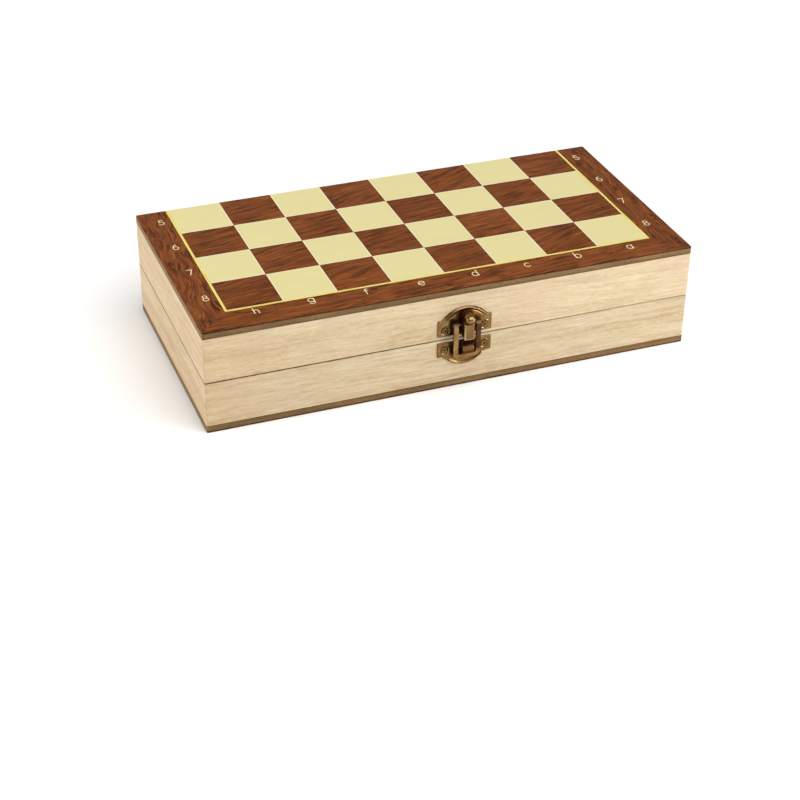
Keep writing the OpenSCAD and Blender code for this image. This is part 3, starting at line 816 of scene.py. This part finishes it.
def plate_common(x, p, z, outline, cz, r, up, screw_z, ring=13.1):
    d = 1 if up else -1
    t = 0.9 * (1 - 0.10 * np.clip((np.abs(x) - 6) / 7.4, 0, 1) ** 2) - 0.26 * np.clip(1 + outline / 0.8, 0, 1) ** 2
    f = ext(outline, np.abs(p - t / 2) - t / 2, 0.30)
    # raised edge that follows the round part
    bead = np.hypot(np.hypot(x, z - cz) - (r - 0.78), p - 0.72) - 0.50
    end = 10.25 if up else 9.25
    bead = smax(bead, end - d * z, 0.5)
    f = smin(f, bead, 0.22)
    # a shallow dish inside the raised edge
    dish = np.hypot(np.hypot(x, z - cz) - (r - 1.75), p - 1.12) - 0.36
    dish = smax(dish, end - d * z, 0.5)
    f = smax(f, -dish, 0.15)
    # seats of the screws, with a pressed ring round each
    rr = np.hypot(np.abs(x) - SCREW_X, z - screw_z)
    f = smin(f, np.hypot(rr - 2.25, p - 0.70) - 0.28, 0.18)
    seat = (rr - (1.08 + (p - 0.05) * 0.98)) * 0.71
    return smax(f, -seat, 0.12)


def upper_plate(x, p, z):
    ears = box2(x, z, -13.4, 13.4, 1.9, 10.4, 0.55)
    dome = np.maximum(circle(x, z, 0, 2.25, 13.85), 9.2 - z)
    f = plate_common(x, p, z, smin(ears, dome, 0.45), 2.25, 13.85, True, SCREW_UP)
    side = np.minimum(circle(p, z, 3.2, 4.2, 1.5), box2(p, z, 0.3, 3.2, 2.7, 5.7))
    lugs = ext(side, np.abs(np.abs(x) - 1.4) - 0.4, 0.14)
    f = smin(f, lugs, 0.25)
    return np.maximum(f, -circle(p, z, 3.2, 4.2, 0.66))


def lower_plate(x, p, z):
    ears = box2(x, z, -13.4, 13.4, -9.0, -1.5, 0.55)
    dome = np.maximum(circle(x, z, 0, -2.4, 12.0), z + 7.8)
    f = plate_common(x, p, z, smin(ears, dome, 1.5), -2.4, 12.0, False, SCREW_LOW)
    cp, cz = 3.4, -4.3
    side = np.minimum(circle(p, z, cp, cz, 2.5), box2(p, z, 0.4, cp, cz + 0.9, cz + 2.5))
    side = np.maximum(side, -circle(p, z, cp, cz, 1.6))
    side = np.maximum(side, -box2(p, z, 0.9, cp - 0.8, cz - 3.5, cz + 0.2, 0.1))
    roll = ext(side, np.abs(x) - 2.85, 0.30)
    return smin(f, roll, 0.3)


def lever(x, p, z):
    body = poly2(p, z, [(3.2, 2.4), (5.6, 2.2), (6.0, 1.8), (6.8, 1.8), (6.8, 9.25), (6.2, 10.2), (6.2, 13.3), (3.2, 13.3)])
    body = np.minimum(body, box2(p, z, 1.4, 6.2, 4.2, 13.3))
    body = np.minimum(body, circle(p, z, 3.2, 4.2, 1.8))
    back = circle(p, z, 3.9, 13.3, 2.6)
    front = np.where(z < 13.3, np.abs(x) - 2.6, circle(x, z, 0, 13.3, 2.6))
    # long front edges bevelled, the bevel widening upwards
    grow = np.clip((z - 2.0) / 8.0, 0, 1)
    bevel = (1.3 * (np.abs(x) - 2.6) + 1.1 * (p - 6.1)) / 1.703 - 0.26 * (1 - grow) + 0.10 * grow
    f = smax(smax(np.minimum(body, back), front, 0.6), bevel, 0.22)
    # round tip that stands out above the flat front
    tip = np.sqrt(np.maximum(np.abs(x) - 0.5, 0) ** 2 + (p - 6.95) ** 2 + (z - 12.45) ** 2) - 2.05
    f = smin(f, smax(tip, 10.9 - z, 0.7), 0.6)
    hollow = np.minimum(box2(p, z, -2, 5.4, -2, 10.4, 0.3), circle(p, z, 4.0, 10.6, 1.7))
    hollow = np.minimum(hollow, box2(p, z, -2, 4.0, 9, 13.4, 0.2))
    f = smax(f, -ext(hollow, np.abs(x) - 1.9, 0.2), 0.12)
    f = np.maximum(f, -circle(p, z, 3.2, 4.2, 0.72))
    return np.maximum(f, -circle(p, z, 3.1, 8.4, 0.72))


BEND = math.radians(20)


def loop(x, p, z):
    outer = box2(x, z, -6.8, 6.8, -10.0, 20.0, 3.2)
    hole = box2(x, z, -4.25, 4.25, -7.1, 30.0, 0.8)
    outline = np.maximum(outer, -hole)
    end = 6.0
    mid = [(3.7, 8.4), (3.7, -6.11), (3.7 - end * math.sin(BEND), -6.11 - end * math.cos(BEND))]
    sheet = line2(p, z, mid) - 0.5
    sheet = ext(sheet, z - 7.8, 0.2)
    f = ext(outline, sheet, 0.32)
    eye = ext(circle(p, z, 2.98, 8.4, 1.12), np.abs(np.abs(x) - 5.525) - 1.275, 0.22)
    f = smin(f, eye, 0.12)
    return np.maximum(f, -circle(p, z, 3.1, 8.4, 0.66))


def lever_pin(x, p, z):
    f = ext(circle(p, z, 3.2, 4.2, 0.65), np.abs(x) - 3.1, 0.1)
    head = ext(circle(p, z, 3.2, 4.2, 1.05), np.abs(np.abs(x) - 2.93) - 0.27, 0.2)
    return np.minimum(f, head)


def loop_pin(x, p, z):
    return ext(circle(p, z, 3.1, 8.4, 0.64), np.abs(x) - 6.74, 0.15)


def group(x, p, z):
    f = np.minimum(p, upper_plate(x, p, z))
    for g in (lower_plate, lever, loop):
        f = np.minimum(f, g(x, p, z))
    return f


def worn(f, P, N, depth=0.22):
    """How open each point is, how near a rounded edge, and how far it faces outward."""
    # openness is sampled against the whole clasp and the rail: toning in each piece's own hollows, and painted shade
    # where other parts stand close
    open_ = sum(w * np.clip(group(*(P + N * d).T) / d, 0, 1) for d, w in ((0.5, 0.34), (1.5, 0.33), (3.6, 0.33)))
    c = np.clip(-f(*(P - N * depth).T) / depth, 0, 1)
    return open_, 1 - c, np.clip(N[:, 1] + 0.75 * np.maximum(N[:, 2], 0), 0, 1)


def clasp_piece(name, node, f, lo, hi, h, mat, dull_and_shade=None, painted_highlight=None):
    """The first extra function gives, for points of the piece, a factor on how open it is and how far it faces outward;
    where it is low the piece is darker, as painted shade and painted dark reflection. The second adds painted
    highlights to the edge wear.
    """
    P, Q, N = nets(f, lo, hi, h)
    cav, rim, lay = worn(f, P, N)
    if dull_and_shade:
        k = dull_and_shade(*P.T)
        cav, lay = cav * k, lay * k
    if painted_highlight:
        rim = rim + painted_highlight(*P.T)
    W_ = clasp_world(P)
    NW = np.stack([N[:, 0], -N[:, 1], N[:, 2]], 1)
    me = mesh_from(name, W_, Q[:, ::-1], NW, {"cav": cav, "rim": rim, "lay": lay})
    return link(name, me, node, [mat])


clasp_piece("clasp_upper_plate_v", "clasp_upper_plate", upper_plate, (-13.4, 0, 1.9), (13.4, 4.7, 16.1), 0.15, M_BRONZE)
# the roll of the lower plate: painted shade over it except a strip near its top, and a painted highlight along that
# strip
clasp_piece("clasp_lower_plate_v", "clasp_lower_plate", lower_plate, (-13.4, 0, -14.4), (13.4, 5.9, -1.5), 0.15, M_BRONZE,
            lambda x, p, z: 1 - 0.55 * ((np.abs(x) < 3.6) & (p > 1.6)) * (1 - np.exp(-((z + 3.5) / 0.65) ** 2)),
            lambda x, p, z: 0.24 * ((np.abs(x) < 2.7) & (p > 4.6)) * np.exp(-((z + 3.5) / 0.45) ** 2))
# the lever: painted shade on its sides and on the rounded back of its top, a painted dark reflection in a band just
# under the tip, and painted highlights on the long bevels and the top of the tip
clasp_piece("clasp_lever_v", "clasp_lever", lever, (-2.6, 1.3, 1.8), (2.6, 9.2, 16.0), 0.12, M_BRONZE,
            lambda x, p, z: (np.clip((p - 4.9 - 0.25 * np.clip(z - 10, 0, 3)) / 0.9, 0.05, 1)
                             * (1 - 0.85 * np.clip(1 - np.abs(z - 10.75) / 1.1, 0, 1) ** 0.6)),
            lambda x, p, z: (0.20 * ((np.abs(x) > 1.7) & (p > 5.75) & (z < 9.6))
                             + 0.16 * np.clip((z - 12.2) / 0.9, 0, 1) * np.clip((p - 6.7) / 0.5, 0, 1)))
# the loop: painted shade on the eyes at the tops of its arms, and the right arm darker above its lower end
clasp_piece("clasp_loop_v", "clasp_loop", loop, (-6.8, 1.5, -10), (6.8, 4.3, 9.6), 0.13, M_BRONZE_LIT,
            lambda x, p, z: np.clip((8.05 - z) / 0.25, 0.3, 1) * (1 - 0.55 * np.clip((x - 1.5) / 2.5, 0, 1) * np.clip((z + 7.5) / 3, 0, 1)))
clasp_piece("clasp_lever_pin_v", "clasp_lever_pin", lever_pin, (-3.2, 2.1, 3.1), (3.2, 4.3, 5.3), 0.10, M_BRONZE_DARK)
clasp_piece("clasp_loop_pin_v", "clasp_loop_pin", loop_pin, (-6.75, 2.4, 7.7), (6.75, 3.8, 9.1), 0.10, M_BRONZE_DARK)


# ---------------------------------------------------------------- screws

def screw(r, head, head_h, length, raise_, slot_w, recess):
    """Countersunk screw with a slightly domed head and a cross recess. Its axis is the second coordinate, and 0 is the rim of the head."""
    def f(x, p, z):
        rr = np.hypot(x, z)
        cone = np.maximum((rr - (head + p * (head - r) / head_h)) * 0.7, np.maximum(p, -head_h - p))
        ball = (head ** 2 + raise_ ** 2) / (2 * raise_)
        dome = np.maximum(np.sqrt(rr ** 2 + (p - raise_ + ball) ** 2) - ball, -p - 0.02)
        shank = np.maximum(rr - r - 0.05 * np.abs((p * 1.6) % 1.0 - 0.5), np.abs(p + length / 2) - length / 2 + r)
        tip = np.maximum((rr - (p + length)) * 0.7, p + length - r * 1.2)
        s = smin(smax(cone, rr - head + 0.05, 0.08), dome, 0.06)
        s = np.minimum(s, np.minimum(shank, tip))
        cross = np.minimum(np.maximum(np.abs(x) - slot_w, np.abs(z) - recess), np.maximum(np.abs(z) - slot_w, np.abs(x) - recess))
        cross = smin(cross, rr - slot_w * 2.0, 0.15)
        cross = np.maximum(cross, -(p + 0.55 - rr * 0.25))
        return smax(s, -cross, 0.08)
    return f


def screw_set(name, node, f, lo, hi, h, places, to_world, mat):
    P, Q, N = nets(f, lo, hi, h)
    rr = np.hypot(P[:, 0], P[:, 2])
    top = np.clip((P[:, 1] + 0.12) / 0.16, 0.0, 1)
    own = np.clip(f(*(P + N * 0.35).T) / 0.35, 0, 1)
    cav = top * own * np.clip((hi[0] - rr) / 0.35 + 0.25, 0, 1)
    slot = np.clip(1 - np.clip((P[:, 1] + 0.02) * -1, 0, 1) * 6, 0, 1) * (np.abs(N[:, 1]) < 0.93) * (rr < hi[0] - 0.35)
    rim = top * slot * 0.7
    lay = np.clip(N[:, 1], 0, 1)
    V, NN, F = [], [], []
    for n, (place, turn) in enumerate(places):
        c, s = math.cos(turn), math.sin(turn)
        A = np.stack([c * P[:, 0] - s * P[:, 2], P[:, 1], s * P[:, 0] + c * P[:, 2]], 1)
        B = np.stack([c * N[:, 0] - s * N[:, 2], N[:, 1], s * N[:, 0] + c * N[:, 2]], 1)
        a, b = to_world(A, place, True), to_world(B, place, False)
        V.append(a)
        NN.append(b)
        F.append(Q[:, ::-1] + n * len(P))
    k = len(places)
    me = mesh_from(name, np.concatenate(V), np.concatenate(F), np.concatenate(NN), {"cav": np.tile(cav, k), "rim": np.tile(rim, k), "lay": np.tile(lay, k)})
    return link(name, me, node, [mat])


def on_front(A, place, point):
    x, p, z = place
    if not point:
        return np.stack([A[:, 0], -A[:, 1], A[:, 2]], 1)
    return np.stack([CLASP_X + x + A[:, 0], -W / 2 - p - A[:, 1], MID + z + A[:, 2]], 1) * MM


big = screw(1.0, 1.72, 0.8, 7.0, 0.28, 0.20, 0.92)
for name, z, turns in (("clasp_upper_screws", SCREW_UP, (0.5, 1.1)), ("clasp_lower_screws", SCREW_LOW, (0.2, 0.85))):
    screw_set(name + "_v", name, big, (-1.72, -7.0, -1.72), (1.72, 0.3, 1.72), 0.085,
              [((s * SCREW_X, 0.84, z), t) for s, t in zip((-1, 1), turns)], on_front, M_BRONZE_DARK)


# ================================================================ the hinges

HX, HL, HK = 76.0, 20.0, 20.0 / 6
FOLD = W / 2 + 0.15
SEAT = FOLD - 6.8 * 0.57


def leaf(sign, middle):
    """Half of a hinge in the lower tray, in x from the hinge's middle, y and height above the meeting line."""
    def f(x, y, z):
        plate = ext(box2(x, y, -HL / 2, HL / 2, FOLD - 6.8, FOLD - 0.8, 0.5), np.abs(z + 0.41) - 0.39, 0.08)
        tube = np.hypot(y - FOLD, z) - 1.5
        tube = np.maximum(tube, -(np.hypot(y - FOLD, z) - (0.70 if middle else 0.655)))
        if middle:
            k = np.abs(x) - (HK - 0.05)
        else:
            k = np.maximum(np.abs(np.abs(x) - (HK + 0.05 + HL / 2) / 2) - (HL / 2 - HK - 0.05) / 2, 0 * x - 1)
        knuckle = ext(tube, k, 0.14)
        clear = np.hypot(y - FOLD, z) - 1.65
        other = -k + 0.1
        plate = smax(plate, -np.maximum(clear, -(k - 0.1)), 0.05)
        body = smin(plate, knuckle, 0.12)
        for s in (-1, 1):
            rr = np.hypot(x - s * HL * 0.31, y - SEAT)
            body = smax(body, -(rr - (1.0 + (z + 0.75) * 0.9)) * 0.74, 0.05)
        return body
    return f


def hinge_mesh(name, node, f, x0, upper, mat):
    P, Q, N = nets(f, (-HL / 2, FOLD - 6.8, -1.5), (HL / 2, FOLD + 1.5, 1.5), 0.15)
    m = -1 if upper else 1
    V = np.stack([x0 + P[:, 0], P[:, 1], MID + m * P[:, 2]], 1) * MM
    NN = np.stack([N[:, 0], N[:, 1], m * N[:, 2]], 1)
    me = mesh_from(name, V, Q[:, ::-1] if upper else Q, NN)
    return link(name, me, node, [mat])


for side, s in (("left", -1), ("right", 1)):
    hinge_mesh(f"{side}_hinge_lower_leaf_v", f"{side}_hinge_lower_leaf", leaf(s, False), s * HX, False, M_HINGE)
    hinge_mesh(f"{side}_hinge_upper_leaf_v", f"{side}_hinge_upper_leaf", leaf(s, True), s * HX, True, M_HINGE)
    P, Q, N = nets(lambda x, y, z: ext(np.hypot(y - FOLD, z) - 0.65, np.abs(x) - HL / 2 - 0.05, 0.12),
                   (-HL / 2 - 0.05, FOLD - 0.65, -0.65), (HL / 2 + 0.05, FOLD + 0.65, 0.65), 0.12)
    V = np.stack([s * HX + P[:, 0], P[:, 1], MID + P[:, 2]], 1) * MM
    link(f"{side}_hinge_pin_v", mesh_from(f"{side}_hinge_pin_v", V, Q, N), f"{side}_hinge_pin", [M_PIN])


def in_seat(m):
    def f(A, place, point):
        x, y, z = place
        if not point:
            return np.stack([A[:, 0] * m, A[:, 2], A[:, 1] * m], 1)
        return np.stack([x + A[:, 0] * m, y + A[:, 2], MID + m * z + A[:, 1] * m], 1) * MM
    return f


small = screw(0.9, 1.52, 0.7, 7.0, 0.02, 0.17, 0.80)
for name, m in (("hinge_lower_screws", 1), ("hinge_upper_screws", -1)):
    places = [((s * HX + t * HL * 0.31, SEAT, -0.05), 0.4 + 0.7 * n) for n, (s, t) in
              enumerate(((-1, -1), (-1, 1), (1, -1), (1, 1)))]
    o = screw_set(name + "_v", name, small, (-1.52, -7.0, -1.52), (1.52, 0.05, 1.52), 0.10, places, in_seat(m), M_PIN)


# ================================================================ floor and light

def floor_material():
    g = Graph("floor")
    n = g.noise(g.vec("SCALE", g.place(), scale=1 / 90), detail=3)
    return g.done(g.ramp(n, [(0.3, lin(246, 246, 245)), (0.7, lin(249, 249, 248))]), 0.85, Specular_IOR_Level=0.1)


me = bpy.data.meshes.new("floor")
s = 12.0
me.from_pydata([(-s, -s, -5e-5), (s, -s, -5e-5), (s, s, -5e-5), (-s, s, -5e-5)], [], [(0, 1, 2, 3)])
floor = bpy.data.objects.new("floor", me)
me.materials.append(floor_material())
scene.collection.objects.link(floor)

world = bpy.data.worlds.new("studio")
scene.world = world
world.use_nodes = True
wg = Graph("studio", world.node_tree)
wx, wy, wz = wg.split(wg.node("ShaderNodeTexCoord", out=0))
# dim surroundings with one broad, soft-edged light above and in front
soft = Vector((0.25, -0.42, 0.87)).normalized()
toward = wg.add(wg.add(wg.mul(wx, soft.x), wg.mul(wy, soft.y)), wg.mul(wz, soft.z))
sky = wg.add(wg.map(toward, math.cos(math.radians(38)), math.cos(math.radians(25)), 0.0, 2.6), 0.36)
wg.put(world.node_tree.nodes["Background"].inputs["Color"], wg.xyz(sky, sky, sky))
world.node_tree.nodes["Background"].inputs["Strength"].default_value = 1.0

area("key", (0.50, -0.50, 0.13), (0.02, -0.03, 0.03), (0.22, 0.22), 2.3)
area("fill", (-1.0, 0.05, 0.35), (0, 0, 0.02), (0.5, 0.5), 4.2)
area("back", (-0.75, 1.0, 0.16), (0, 0.06, 0.03), (0.5, 0.25), 1.6)

scene.view_settings.view_transform = "Standard"
scene.view_settings.look = "None"
